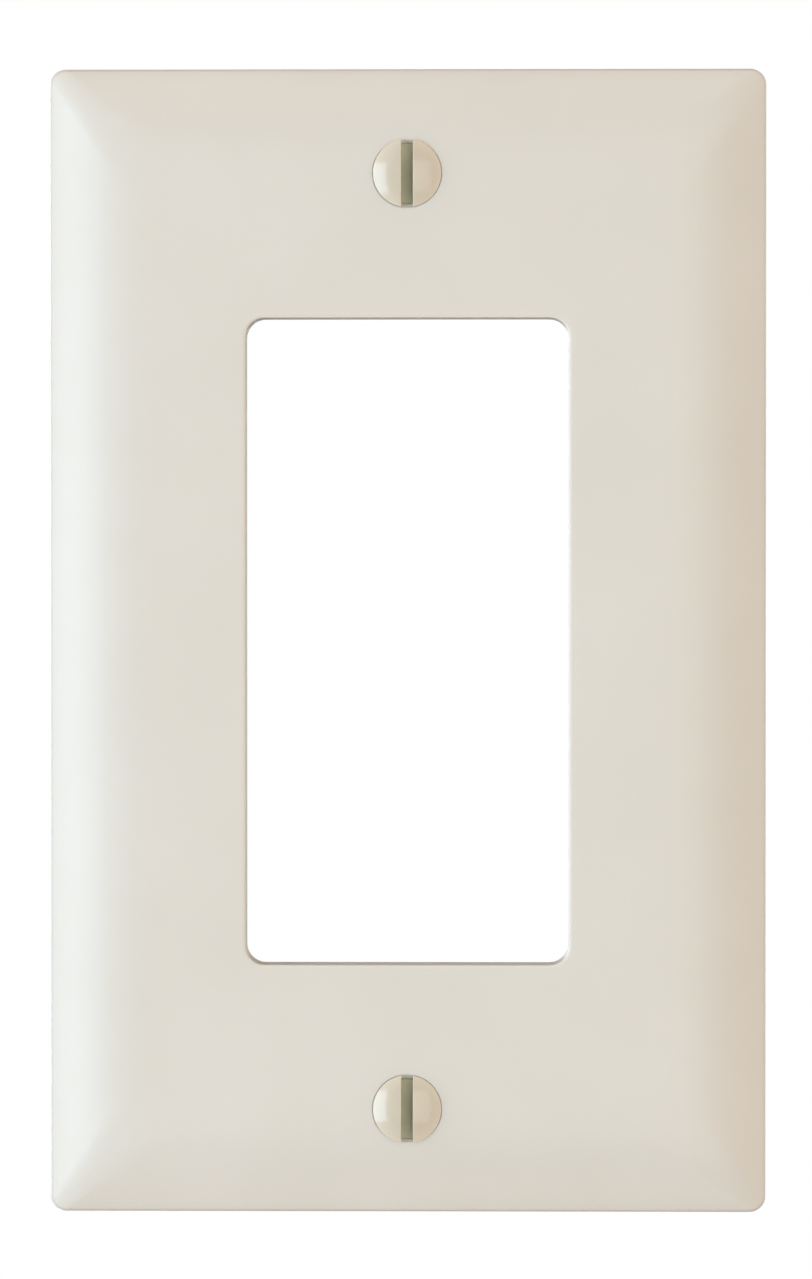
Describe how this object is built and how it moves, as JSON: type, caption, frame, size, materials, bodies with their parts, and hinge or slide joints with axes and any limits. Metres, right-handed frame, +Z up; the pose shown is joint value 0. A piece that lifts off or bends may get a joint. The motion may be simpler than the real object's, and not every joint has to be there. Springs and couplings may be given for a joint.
{
  "type": "wall plate cover",
  "caption": "Rectangular moulded wall plate with a curved margin and a tall rectangular opening, held by oval-head screws that stay in the plate.",
  "frame": {"origin": "the plate's centre on the wall plane, midway between the two screws", "axes": "+X to the right seen from the front, +Z up, +Y into the wall, so the front faces -Y"},
  "size_m": [0.0746, 0.0138, 0.119],
  "materials": {
    "plate_nylon": "light almond, fine satin moulding",
    "painted_screw": "almond enamel on the head, bright zinc on the thread",
    "washer_nylon": "natural white, slightly clear"
  },
  "bodies": {
    "plate": {"cover_plate": "plate_nylon"},
    "upper_washer": {"upper_retaining_washer": "washer_nylon"},
    "upper_screw": {"upper_screw": "painted_screw"},
    "lower_washer": {"lower_retaining_washer": "washer_nylon"},
    "lower_screw": {"lower_screw": "painted_screw"}
  },
  "joints": [
    {"name": "upper_screw_travel", "type": "slide", "parent": "plate", "child": "upper_washer", "axis": [0, -1, 0], "range_m": [0, 0.00476]},
    {"name": "upper_screw_turn", "type": "hinge", "parent": "upper_washer", "child": "upper_screw", "pos_m": [0, 0, 0.04842], "axis": [0, -1, 0], "range_deg": [0, 2160]},
    {"name": "lower_screw_travel", "type": "slide", "parent": "plate", "child": "lower_washer", "axis": [0, -1, 0], "range_m": [0, 0.00476]},
    {"name": "lower_screw_turn", "type": "hinge", "parent": "lower_washer", "child": "lower_screw", "pos_m": [0, 0, -0.04842], "axis": [0, -1, 0], "range_deg": [0, 2160]}
  ],
  "couplings": [
    {"joint": "upper_screw_turn", "follows": "upper_screw_travel", "rad_per_m": 7915.8},
    {"joint": "lower_screw_turn", "follows": "lower_screw_travel", "rad_per_m": 7915.8}
  ]
}
